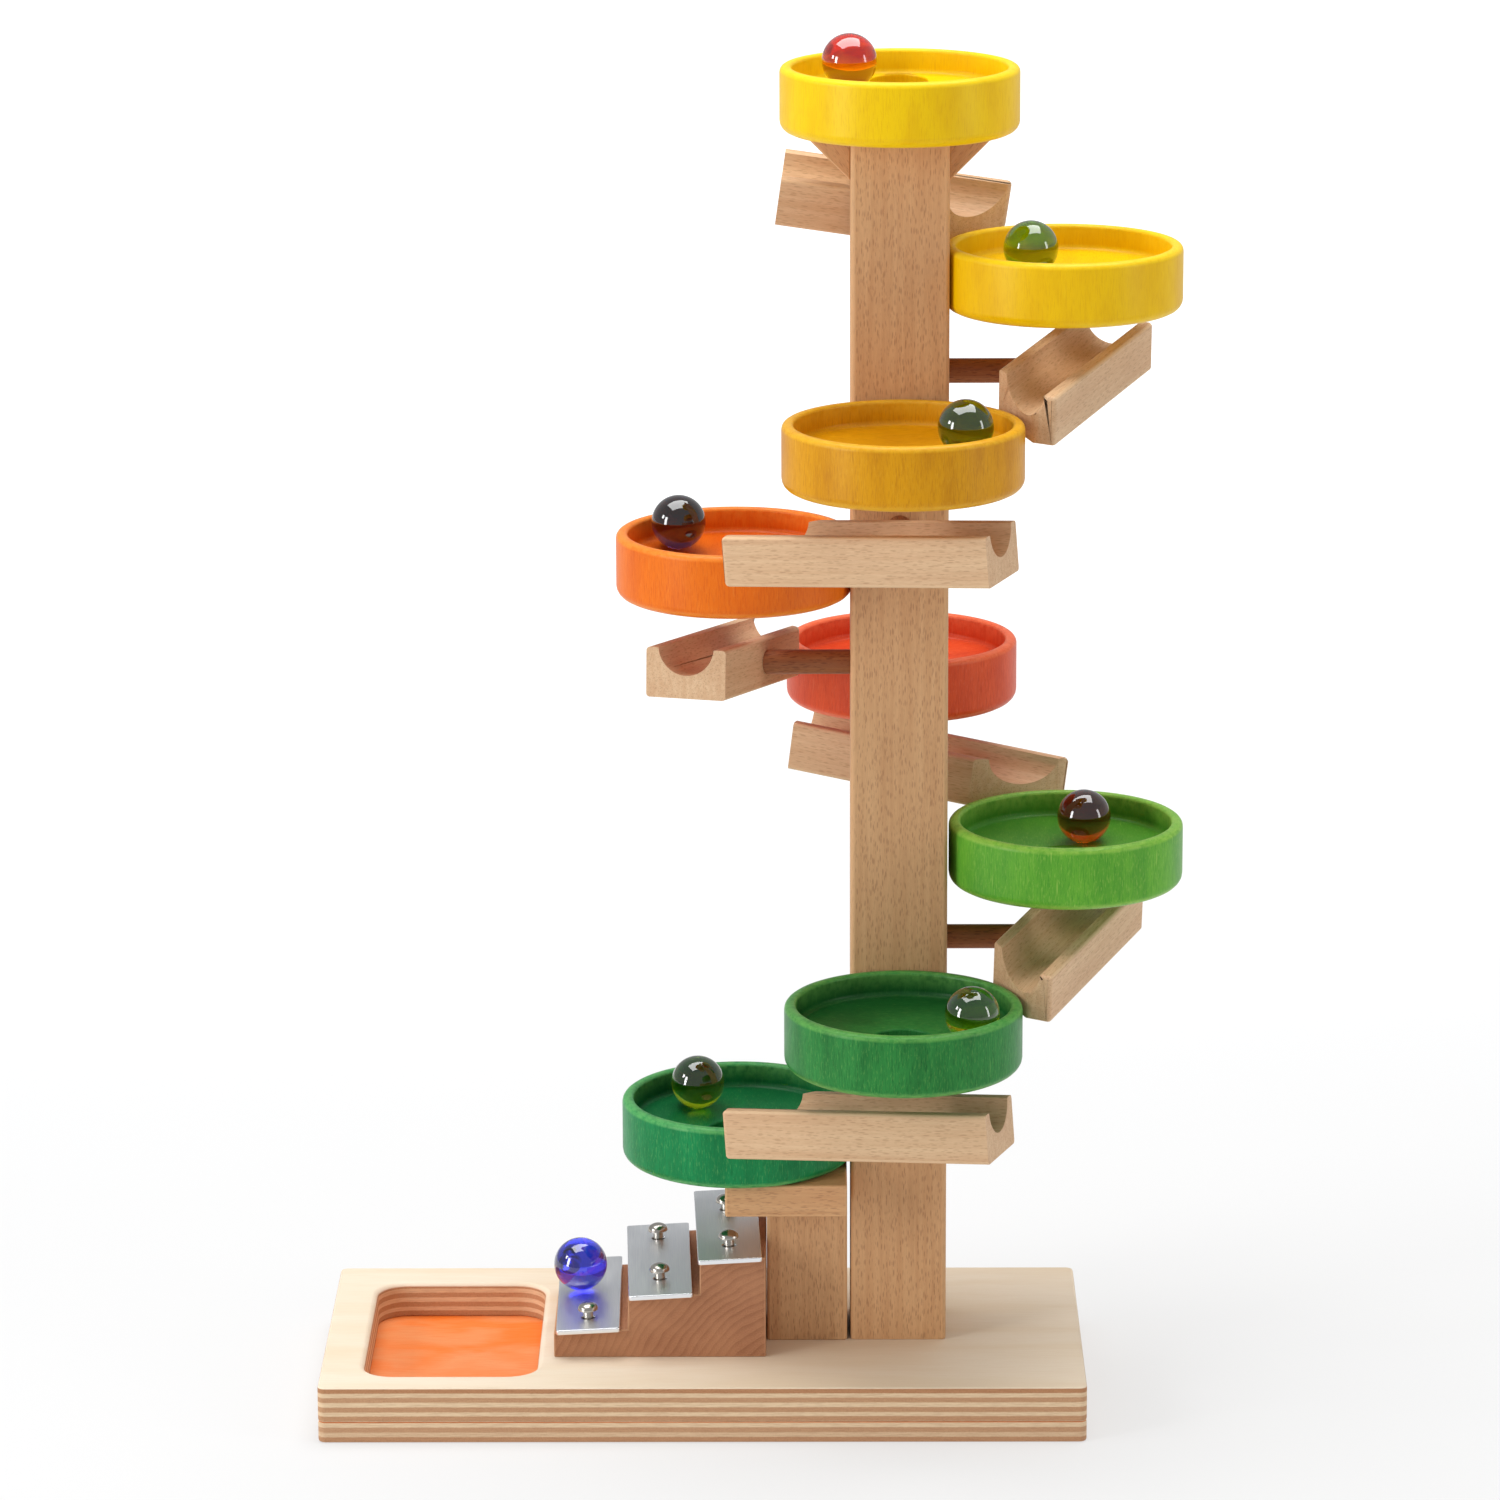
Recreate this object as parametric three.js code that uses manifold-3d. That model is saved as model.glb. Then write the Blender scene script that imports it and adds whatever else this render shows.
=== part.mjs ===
// A spiral marble run: eight bowls glued round a square post, seven sloping
// chutes between them, a step block with three loose sounding plates and a
// base with a catch tray. Millimetres, +Z up, origin under the base centre.
import * as THREE from 'three';
import { mergeVertices } from 'three/addons/utils/BufferGeometryUtils.js';
import Module from 'manifold-3d';

const wasm = await Module();
wasm.setup();

const gap = 0.3; // clearance left between two parts that touch
const quarter = Math.PI / 2;
const rad = THREE.MathUtils.degToRad;

// base
const base = { length: 225.5, depth: 107, plate: 6.3, board: 10.7, corner: 2.2, edge: 0.8 };
const boardTop = base.plate + base.board;
const tray = { x: -74.5, y: -1.7, length: 51, depth: 81.4, corner: 9 };

// posts and what sits on them
const post = { x: 58, y: 2, side: 28.4, edge: 1.4 };
const shortPost = { x: 30.85, y: -0.5, side: 23.9, edge: 1 };
const shelf = { x: 24.7, y: 0, length: 36, depth: 55.4, height: 9.4 };
const brace = { leg: 13.2, thick: 14 };

// bowls: side of the post in quarter turns, distance out, shift along that
// side where the bowl was glued off centre, height of the rim
const bowl = { radius: 34.5, height: 18.8, inner: 31, floorEdge: 7.1, floorDrop: 3.7, hole: 9 };
const topHole = { radius: 8.4, back: 21.5 };
const bowls = [
  { name: 'bowl_1', turn: 0, out: 0, shift: 0, rim: 397.8, colour: 0xe8c21a },
  { name: 'bowl_2', turn: 1, out: 47.3, shift: 0, rim: 346, colour: 0xe3b71f },
  { name: 'bowl_3', turn: 0, out: 48.6, shift: 0.4, rim: 303.6, colour: 0xc98f22 },
  { name: 'bowl_4', turn: -1, out: 48, shift: 0, rim: 261.4, colour: 0xdf6f20 },
  { name: 'bowl_5', turn: 2, out: 47.2, shift: -1.6, rim: 218.3, colour: 0xd9542f },
  { name: 'bowl_6', turn: 1, out: 49.3, shift: 0, rim: 174.3, colour: 0x5fa336 },
  { name: 'bowl_7', turn: 0, out: 48.6, shift: 0.8, rim: 132.5, colour: 0x2f7d3c },
  { name: 'bowl_8', turn: -1, out: 47.6, shift: 0, rim: 89.3, colour: 0x15803f },
];

// chutes: x, y, z is the middle of the top at the high end, seen with the
// chute in front of the post; angles in degrees; the far end is mitred so
// that the outer wall is longer than the inner wall
const chute = { width: 24.6, height: 14.6, groove: 8.6, grooveDrop: 7.9, lip: 0.8, edge: 1, nose: 3.2 };
const chutes = [
  { turn: 2, x: 33.4, y: -27.2, z: 364.9, yaw: 1.4, slope: 8.1, roll: -12.9, outer: 67, inner: 45 },
  { turn: 1, x: 26.2, y: -62.9, z: 319.2, yaw: 23.8, slope: 6, roll: 3, outer: 76.7, inner: 58.2 },
  { turn: 0, x: 27.6, y: -62.5, z: 275.9, yaw: 21.9, slope: 4.5, roll: 0.5, outer: 80.6, inner: 58 },
  { turn: -1, x: 26.2, y: -61.8, z: 232.5, yaw: 20.8, slope: 6.2, roll: 1.6, outer: 77.5, inner: 60 },
  { turn: 2, x: 27.1, y: -60, z: 190.8, yaw: 18, slope: 7, roll: 2, outer: 80, inner: 57 },
  { turn: 1, x: 26, y: -62.3, z: 148.7, yaw: 23.2, slope: 5.8, roll: 4, outer: 76.6, inner: 59 },
  { turn: 0, x: 28, y: -61.3, z: 105.5, yaw: 19.4, slope: 4.9, roll: -1.6, outer: 80.8, inner: 59.2 },
];
const dowel = { radius: 3.6, drop: 10.4 };

// step block: each tread with the middle and turn of its plate and the pins along it
const steps = { left: -44.2, right: 18.6, front: -27.2, depth: 59.4, tilt: 2.6 };
const treads = [
  { from: -44.2, to: -22.2, height: 25.1, x: -34.4, y: 2.2, yaw: 0.8, pins: [-21.8, 18.5] },
  { from: -22.2, to: -0.9, height: 36.1, x: -13.4, y: 1.5, yaw: 1.9, pins: [-17.5, 19.5] },
  { from: -0.9, to: 18.6, height: 47.7, x: 7.1, y: 0, yaw: 2, pins: [-19.7, 13.7] },
];
const plate = { width: 18.9, length: 65, thick: 1.5, corner: 0.8, hole: 2 };
const pin = { head: 3, dome: 2.3, stem: 1.5, rise: 4.2, sunk: 6 };

const marbleRadius = 8;
const lift = 0.3 + marbleRadius;

const wood = (colour) => ({ color: colour, roughness: 0.6, metalness: 0 });
const beech = wood(0xc9a57c);
const model = new THREE.Group();
model.name = 'marble_run';

function addMesh(parent, name, geometry, look) {
  const mesh = new THREE.Mesh(geometry, new THREE.MeshStandardMaterial(look));
  mesh.name = name;
  mesh.material.name = `${name}_material`;
  parent.add(mesh);
  return mesh;
}

function toSolid(geometry) {
  const bare = geometry.clone();
  bare.deleteAttribute('normal');
  bare.deleteAttribute('uv');
  const merged = mergeVertices(bare, 1e-4);
  return new wasm.Manifold(new wasm.Mesh({
    numProp: 3,
    vertProperties: new Float32Array(merged.attributes.position.array),
    triVerts: new Uint32Array(merged.index.array),
  }));
}

function toGeometry(solid) {
  const mesh = solid.getMesh();
  const geometry = new THREE.BufferGeometry();
  geometry.setAttribute('position', new THREE.BufferAttribute(mesh.vertProperties, 3));
  geometry.setIndex(new THREE.BufferAttribute(mesh.triVerts, 1));
  geometry.computeVertexNormals();
  return geometry;
}

// points of a rounded rectangle about (cx, cy), anticlockwise
function roundedRectangle(cx, cy, w, h, r, segments = 3) {
  const points = [];
  const corners = [[1, -1, -1], [1, 1, 0], [-1, 1, 1], [-1, -1, 2]];
  for (const [sx, sy, start] of corners) {
    for (let i = 0; i <= segments; i += 1) {
      const a = (start + i / segments) * quarter;
      const x = cx + sx * (w / 2 - r) + r * Math.cos(a);
      const y = cy + sy * (h / 2 - r) + r * Math.sin(a);
      points.push(new THREE.Vector2(x, y));
    }
  }
  return points;
}

function prism(outline, depth, holes = [], edge = 0) {
  const shape = new THREE.Shape(outline);
  shape.holes = holes.map((points) => new THREE.Path(points));
  const geometry = new THREE.ExtrudeGeometry(shape, {
    depth: depth - 2 * edge,
    bevelEnabled: edge > 0,
    bevelSize: edge,
    bevelOffset: -edge,
    bevelThickness: edge,
    bevelSegments: 1,
  });
  return geometry.translate(0, 0, edge);
}

// turns a prism drawn in (across, up) so that it runs along X
function alongX(geometry) {
  const turn = new THREE.Matrix4().makeBasis(
    new THREE.Vector3(0, 1, 0), new THREE.Vector3(0, 0, 1), new THREE.Vector3(1, 0, 0));
  return geometry.applyMatrix4(turn);
}

function boxBetween(x0, x1, y0, y1, z0, z1) {
  const box = new THREE.BoxGeometry(x1 - x0, y1 - y0, z1 - z0);
  return box.translate((x0 + x1) / 2, (y0 + y1) / 2, (z0 + z1) / 2);
}

function turned(profile, segments) {
  const points = profile.map(([r, z]) => new THREE.Vector2(r, z));
  return new THREE.LatheGeometry(points, segments).rotateX(quarter);
}

function makeBase() {
  const outline = roundedRectangle(0, 0, base.length, base.depth, base.corner, 2);
  const opening = roundedRectangle(tray.x, tray.y, tray.length, tray.depth, tray.corner, 5);
  addMesh(model, 'base_plate', prism(outline, base.plate - gap, [], 0.5), wood(0xd9a268));
  const board = prism(outline, base.board, [opening.reverse()], base.edge);
  addMesh(model, 'base_board', board.translate(0, 0, base.plate), wood(0xe2c79c));
}

function makePosts() {
  const topBowl = bowls[0].rim - bowl.height;
  const tall = prism(roundedRectangle(0, 0, post.side, post.side, post.edge, 2),
    topBowl - boardTop - 2 * gap);
  addMesh(model, 'main_post', tall, beech).position.set(post.x, post.y, boardTop + gap);

  const shelfTop = bowls[7].rim - bowl.height - gap;
  const shelfLow = shelfTop - shelf.height;
  const short = prism(roundedRectangle(0, 0, shortPost.side, shortPost.side, shortPost.edge, 2),
    shelfLow - boardTop - 2 * gap);
  addMesh(model, 'short_post', short, beech).position.set(shortPost.x, shortPost.y, boardTop + gap);

  const block = prism(roundedRectangle(0, 0, shelf.length, shelf.depth, 0.6, 1), shelf.height, [], 0.4);
  addMesh(model, 'support_block', block, beech).position.set(shelf.x, shelf.y, shelfLow);

  for (const [name, side] of [['brace_left', -1], ['brace_right', 1]]) {
    const inner = post.side / 2 + gap;
    const outline = [
      new THREE.Vector2(inner, -brace.leg),
      new THREE.Vector2(inner + brace.leg, -0.8),
      new THREE.Vector2(inner + brace.leg, 0),
      new THREE.Vector2(inner, 0),
    ];
    const wedge = prism(outline, brace.thick).rotateX(quarter).translate(0, brace.thick / 2, 0);
    if (side < 0) wedge.rotateZ(2 * quarter);
    const mesh = addMesh(model, name, wedge, beech);
    mesh.position.set(post.x, post.y, topBowl - gap);
  }
}

function bowlProfile(floorInner) {
  const { radius, height, inner, floorEdge } = bowl;
  return [
    [radius - 1.6, 0], [radius, 1.6], [radius, height - 1.3], [radius - 0.9, height],
    [inner + 0.7, height], [inner, height - 0.7], [inner - 0.3, height - floorEdge + 1.2],
    [inner - 1.6, height - floorEdge], floorInner,
  ];
}

function makeBowls() {
  bowls.forEach((item, index) => {
    const turn = new THREE.Group();
    turn.position.set(post.x, post.y, item.rim - bowl.height);
    turn.rotation.z = item.turn * quarter;
    model.add(turn);
    const low = bowl.height - bowl.floorEdge - bowl.floorDrop;
    let solid;
    if (index === 0) {
      const middle = [0, bowl.height - bowl.floorEdge - 1.6];
      solid = toSolid(turned([[0, 0], ...bowlProfile(middle)], 48));
      const drill = turned([[0, -5], [topHole.radius, -5], [topHole.radius, 25], [0, 25]], 32);
      solid = solid.subtract(toSolid(drill.translate(0, topHole.back, 0)));
    } else {
      const rim = [bowl.hole, low];
      solid = toSolid(turned([[bowl.hole, 0], ...bowlProfile(rim), [bowl.hole, 0]], 48));
      const face = item.out - post.side / 2 - gap;
      solid = solid.subtract(toSolid(boxBetween(-40, 40, face, 60, -5, 30)));
    }
    const mesh = addMesh(turn, item.name, toGeometry(solid), wood(item.colour));
    mesh.position.set(item.shift, -item.out, 0);
  });
}

function chuteMatrix(item) {
  const angles = new THREE.Euler(rad(item.roll), -rad(item.slope), -rad(item.yaw), 'ZYX');
  const matrix = new THREE.Matrix4().makeRotationFromEuler(angles);
  return matrix.setPosition(item.x, item.y, item.z);
}

// cross-section in (across, up): a block with eased edges and a round groove
function chuteSection() {
  const half = chute.width / 2;
  const { height, groove, grooveDrop, lip, edge } = chute;
  const centre = groove - grooveDrop;
  const start = Math.asin((centre + lip) / groove);
  const points = [
    [half - 1, -height], [half, -height + 1], [half, -edge], [half - edge / 3, -edge / 3],
    [half - edge, 0], [groove * Math.cos(start) + lip, 0],
  ];
  for (let i = 0; i <= 14; i += 1) {
    const a = start + (i / 14) * (Math.PI - 2 * start);
    points.push([groove * Math.cos(a), centre - groove * Math.sin(a)]);
  }
  points.push([-groove * Math.cos(start) - lip, 0], [edge - half, 0], [edge / 3 - half, -edge / 3]);
  points.push([-half, -edge], [-half, 1 - height], [1 - half, -height]);
  return points.map(([x, y]) => new THREE.Vector2(x, y));
}

function makeChutes() {
  const section = chuteSection();
  const half = chute.width / 2;
  chutes.forEach((item, index) => {
    const turn = new THREE.Group();
    turn.position.set(post.x, post.y, 0);
    turn.rotation.z = item.turn * quarter;
    model.add(turn);
    const matrix = chuteMatrix(item);
    const bar = alongX(prism(section, item.outer)).translate(-item.outer, 0, 0);
    const plan = [[2, -half - 2], [2, half + 2], [-item.inner, half + 2], [-item.inner, half],
      [-item.outer, chute.nose - half], [-item.outer - 2, chute.nose - half - 2],
      [-item.outer - 2, -half - 2]];
    const outline = plan.map(([x, y]) => new THREE.Vector2(x, y));
    const keep = prism(outline, 40).translate(0, 0, -30);
    let solid = toSolid(bar).intersect(toSolid(keep));
    solid = toSolid(toGeometry(solid).applyMatrix4(matrix));
    const back = post.side / 2 + gap;
    if (index === 0) {
      solid = solid.subtract(toSolid(boxBetween(-60, 60, -back, 20, 300, 420)));
    } else {
      const rod = new THREE.CylinderGeometry(dowel.radius, dowel.radius, 40, 24);
      rod.translate(0, -back - 20, 0);
      const height = item.z - dowel.drop;
      const beyond = boxBetween(-150, 60, -80, half + gap, -60, 60).applyMatrix4(matrix);
      const pegged = toSolid(rod.translate(0, 0, height)).subtract(toSolid(beyond));
      addMesh(turn, `dowel_${index + 1}`, toGeometry(pegged), wood(0x8e5a38));
    }
    addMesh(turn, `chute_${index + 1}`, toGeometry(solid), beech);
  });
}

function makeSteps() {
  const slope = Math.tan(rad(steps.tilt));
  const outline = [new THREE.Vector2(steps.left, 0), new THREE.Vector2(steps.right, 0)];
  for (const tread of [...treads].reverse()) {
    const rise = ((tread.to - tread.from) / 2) * slope;
    outline.push(new THREE.Vector2(tread.to, tread.height - boardTop - gap + rise));
    outline.push(new THREE.Vector2(tread.from, tread.height - boardTop - gap - rise));
  }
  const body = prism(outline, steps.depth).rotateX(quarter);
  let block = toSolid(body.translate(0, steps.front + steps.depth, boardTop + gap));

  treads.forEach((tread, index) => {
    const frame = new THREE.Group();
    const rise = (tread.x - (tread.from + tread.to) / 2) * slope;
    frame.position.set(tread.x, tread.y, tread.height + rise);
    frame.rotation.set(0, -rad(steps.tilt), rad(tread.yaw));
    frame.updateMatrix();
    model.add(frame);
    const holes = tread.pins.map((y) => roundedRectangle(0, y, 2 * plate.hole, 2 * plate.hole,
      plate.hole, 4).reverse());
    const sheet = prism(roundedRectangle(0, 0, plate.width, plate.length, plate.corner, 1),
      plate.thick, holes);
    const look = { color: 0xb9bcc0, roughness: 0.35, metalness: 1 };
    addMesh(frame, `sound_plate_${index + 1}`, sheet, look).position.z = gap;
    tread.pins.forEach((y, side) => {
      const socket = turned([[0, -pin.sunk - gap], [pin.stem + gap, -pin.sunk - gap],
        [pin.stem + gap, 3], [0, 3]], 16).translate(0, y, 0);
      block = block.subtract(toSolid(socket.applyMatrix4(frame.matrix)));
      const { head, dome, stem, rise, sunk } = pin;
      const profile = [[0, -sunk], [stem, -sunk], [stem, rise], [head - 0.4, rise],
        [head, rise + 0.4], [head * 0.8, rise + dome * 0.68], [head * 0.42, rise + dome * 0.93],
        [0, rise + dome]];
      const name = `plate_pin_${2 * index + side + 1}`;
      const metal = { color: 0xb7afa0, roughness: 0.2, metalness: 1 };
      addMesh(frame, name, turned(profile, 14), metal).position.y = y;
    });
  });
  addMesh(model, 'step_block', toGeometry(block), wood(0xa5714c));
}

// a marble resting on the dished floor of a bowl, placed from the bowl centre
const loose = [
  { name: 'marble_1', bowl: 0, x: -14.4, y: 5, colour: 0xb23a1c },
  { name: 'marble_2', bowl: 1, x: -9.3, y: 4.5, colour: 0x3c7a1f },
  { name: 'marble_3', bowl: 2, x: 17.6, y: -3, colour: 0x1f4a1c },
  { name: 'marble_4', bowl: 3, x: -16.4, y: 12.9, colour: 0x141b3a },
  { name: 'marble_5', bowl: 5, x: 5.8, y: 9.8, colour: 0x6d1c14 },
  { name: 'marble_6', bowl: 6, x: 19.6, y: -11.8, colour: 0x6f8f1c },
  { name: 'marble_7', bowl: 7, x: -12.2, y: 14.2, colour: 0x7d8a2a },
];
const stepMarble = { name: 'marble_8', x: -37.2, y: 5.1, colour: 0x2a2fc4 };

function makeMarbles() {
  const glass = (colour) => ({ color: colour, roughness: 0.05, metalness: 0 });
  const ball = () => new THREE.SphereGeometry(marbleRadius, 20, 12).rotateX(quarter);
  for (const item of loose) {
    const host = bowls[item.bowl];
    const flat = item.bowl === 0;
    const run = flat ? bowl.inner - 1.6 : bowl.inner - 1.6 - bowl.hole;
    const drop = flat ? 1.6 : bowl.floorDrop;
    const edge = bowl.inner - 1.6 - Math.hypot(item.x, item.y);
    const floor = host.rim - bowl.floorEdge - (edge * drop) / run;
    const a = host.turn * quarter;
    const mesh = addMesh(model, item.name, ball(), glass(item.colour));
    const x = post.x + host.out * Math.sin(a) + host.shift * Math.cos(a) + item.x;
    const y = post.y - host.out * Math.cos(a) + host.shift * Math.sin(a) + item.y;
    mesh.position.set(x, y, floor + lift / Math.cos(Math.atan(drop / run)));
  }
  const tread = treads[0];
  const slope = rad(steps.tilt);
  const along = stepMarble.x - (tread.from + tread.to) / 2;
  const top = tread.height + along * Math.tan(slope) + (gap + plate.thick + lift) / Math.cos(slope);
  const mesh = addMesh(model, stepMarble.name, ball(), glass(stepMarble.colour));
  mesh.position.set(stepMarble.x, stepMarble.y, top);
}

makeBase();
makePosts();
makeBowls();
makeChutes();
makeSteps();
makeMarbles();

export default model;
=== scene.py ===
import math
import random
import bpy
import bmesh
from mathutils import Matrix, Vector


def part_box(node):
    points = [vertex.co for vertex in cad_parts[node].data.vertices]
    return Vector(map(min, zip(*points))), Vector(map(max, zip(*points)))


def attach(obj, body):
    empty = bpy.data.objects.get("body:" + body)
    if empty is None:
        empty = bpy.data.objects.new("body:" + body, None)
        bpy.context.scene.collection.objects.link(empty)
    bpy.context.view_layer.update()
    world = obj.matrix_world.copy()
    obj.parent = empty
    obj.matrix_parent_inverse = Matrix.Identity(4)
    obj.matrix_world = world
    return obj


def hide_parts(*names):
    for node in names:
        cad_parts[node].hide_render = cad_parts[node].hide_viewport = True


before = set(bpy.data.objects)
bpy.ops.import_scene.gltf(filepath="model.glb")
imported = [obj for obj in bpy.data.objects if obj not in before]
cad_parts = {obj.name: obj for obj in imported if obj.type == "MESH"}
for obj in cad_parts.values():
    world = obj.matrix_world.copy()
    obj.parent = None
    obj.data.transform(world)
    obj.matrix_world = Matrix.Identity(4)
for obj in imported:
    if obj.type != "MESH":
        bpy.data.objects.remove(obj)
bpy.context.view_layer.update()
print("frame loaded:", len(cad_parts), "nodes")

# pieces are shaped in millimetres and brought to metres when they are settled
mm = 0.001
near = 0.1  # a point this close to a plane or edge, in millimetres, counts as on it
grainSpread = 300  # each piece takes its grain from its own place in a block this long
grainSeeds = {"base": 1, "post": 11, "bowl": 20, "chute": 40, "dowel": 60, "steps": 80,
              "plate": 90, "pin": 100}


# small helpers

def startFresh():
    if bpy.context.mode != "OBJECT":
        bpy.ops.object.mode_set(mode="OBJECT")
    bpy.ops.object.select_all(action="DESELECT")


def pickOnly(piece):
    startFresh()
    piece.select_set(True)
    bpy.context.view_layer.objects.active = piece


def openMesh(piece, kind):
    pickOnly(piece)
    bpy.ops.object.mode_set(mode="EDIT")
    bpy.ops.mesh.select_mode(type=kind)
    bpy.ops.mesh.select_all(action="DESELECT")
    return bmesh.from_edit_mesh(piece.data)


def pickFaces(piece, test):
    shape = openMesh(piece, "FACE")
    for face in shape.faces:
        if test(face.calc_center_median(), face.normal):
            face.select_set(True)
    bmesh.update_edit_mesh(piece.data)


def pickEdges(piece, test):
    shape = openMesh(piece, "EDGE")
    for edge in shape.edges:
        if test(edge.verts[0].co, edge.verts[1].co):
            edge.select_set(True)
    bmesh.update_edit_mesh(piece.data)


def closeMesh():
    bpy.ops.object.mode_set(mode="OBJECT")


def pull(x=0, y=0, z=0):
    bpy.ops.mesh.extrude_region_move(TRANSFORM_OT_translate={"value": (x, y, z)})


def roundEdges(piece, width, segments, test):
    pickEdges(piece, test)
    bpy.ops.mesh.bevel(offset=width, segments=segments, affect="EDGES")
    closeMesh()


def applyLast(piece, modifier):
    pickOnly(piece)
    bpy.ops.object.modifier_apply(modifier=modifier.name)


def applyPlace(piece):
    pickOnly(piece)
    bpy.ops.object.transform_apply(location=True, rotation=True, scale=True)


def addBlock(name, low, high):
    startFresh()
    middle = [(a + b) / 2 for a, b in zip(low, high)]
    bpy.ops.mesh.primitive_cube_add(size=1, location=middle)
    piece = bpy.context.object
    piece.name = name
    piece.scale = [b - a for a, b in zip(low, high)]
    applyPlace(piece)
    return piece


def addRod(name, radius, low, high, sides=48, across=(0, 0)):
    startFresh()
    bpy.ops.mesh.primitive_cylinder_add(vertices=sides, radius=radius, depth=high - low,
                                        location=(across[0], across[1], (low + high) / 2))
    piece = bpy.context.object
    piece.name = name
    applyPlace(piece)
    return piece


def cutAway(piece, tool):
    cut = piece.modifiers.new("cut", "BOOLEAN")
    cut.operation = "DIFFERENCE"
    cut.solver = "EXACT"
    cut.object = tool
    applyLast(piece, cut)
    bpy.data.objects.remove(tool)


def sliceOff(piece, point, outward):
    openMesh(piece, "FACE")
    bpy.ops.mesh.select_all(action="SELECT")
    bpy.ops.mesh.bisect(plane_co=point, plane_no=outward, use_fill=True, clear_outer=True)
    closeMesh()


def tidyMesh(piece):
    openMesh(piece, "FACE")
    bpy.ops.mesh.select_all(action="SELECT")
    bpy.ops.mesh.remove_doubles(threshold=0.002)
    bpy.ops.mesh.normals_make_consistent(inside=False)
    closeMesh()


# rounds the sharp edges and remembers the new faces, where the finish is rubbed thin
def easeEdges(piece, width, segments=3, limit=40):
    piece.data.materials.append(None)
    piece.data.materials.append(None)
    rounding = piece.modifiers.new("easedEdges", "BEVEL")
    rounding.width = width
    rounding.segments = segments
    rounding.limit_method = "ANGLE"
    rounding.angle_limit = math.radians(limit)
    rounding.material = 1
    applyLast(piece, rounding)
    rubbed = [1.0 if face.material_index == 1 else 0.0 for face in piece.data.polygons]
    for face in piece.data.polygons:
        face.material_index = 0
    piece.data.materials.clear()
    mark = piece.data.attributes.new("rubbed", "FLOAT", "FACE")
    mark.data.foreach_set("value", rubbed)


def grainShift(seed):
    draw = random.Random(seed)
    return Vector([draw.uniform(0, grainSpread) for axis in range(3)])


# the grain runs along Z of this attribute; axis is the direction it has in the piece
def layGrain(piece, axis, seed):
    shift = grainShift(seed)
    turn = Vector(axis).rotation_difference(Vector((0, 0, 1)))
    place = piece.data.attributes.new("grainPlace", "FLOAT_VECTOR", "POINT")
    for point, vertex in zip(place.data, piece.data.vertices):
        point.vector = turn @ vertex.co + shift


def toMetres(place):
    return Matrix.Scale(mm, 4) @ place @ Matrix.Scale(1 / mm, 4)


def settlePiece(piece, node, body, finish, place=None):
    piece.matrix_world = (place or Matrix.Identity(4)) @ Matrix.Scale(mm, 4)
    applyPlace(piece)
    bpy.ops.object.shade_smooth()
    crisp = piece.modifiers.new("crispFaces", "WEIGHTED_NORMAL")
    crisp.mode = "FACE_AREA"
    crisp.keep_sharp = True
    applyLast(piece, crisp)
    piece.data.materials.clear()
    piece.data.materials.append(finish)
    piece.data.name = piece.name
    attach(piece, body)
    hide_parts(node)
    return piece


def boxOf(node):
    low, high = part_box(node)
    return low / mm, high / mm


# camera and light

cameraSet = {"place": (0.02915, -1.8463, 0.6792), "pan": 0.008, "tilt": -0.256, "roll": -0.004,
             "lens": 156.02, "sensor": 36, "reach": 50}

studio = {
    "worldColor": (0.96, 0.98, 1.0), "worldStrength": 0.41, "exposure": 0.0,
    "floorSize": 16, "floorPlace": (0, 2, -0.0001),
    "floorColor": (0.3, 0.3, 0.3), "floorRoughness": 0.9, "floorLift": 0.56, "floorGlow": 0.5,
    # the sweep brightens to pure white from this far behind the object, in metres
    "sweepStart": 0.1, "sweepEnd": 1.6, "sweepLift": 0.5,
    "boxes": [
        # name, place, aimed at, width, height, watts
        ("topBox", (0.0, 0.12, 1.6), (0.03, 0.02, 0.2), 1.6, 1.1, 25.0),
        ("leftStrip", (-1.3, -0.85, 0.5), (0.03, 0.0, 0.22), 0.3, 0.95, 9.0),
        ("leftWindow", (-1.2, -0.3, 0.75), (0.03, 0.0, 0.22), 0.22, 0.26, 2.0),
        ("rightStrip", (1.35, -0.5, 0.5), (0.03, 0.0, 0.22), 0.22, 0.9, 2.9),
    ],
}


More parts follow.
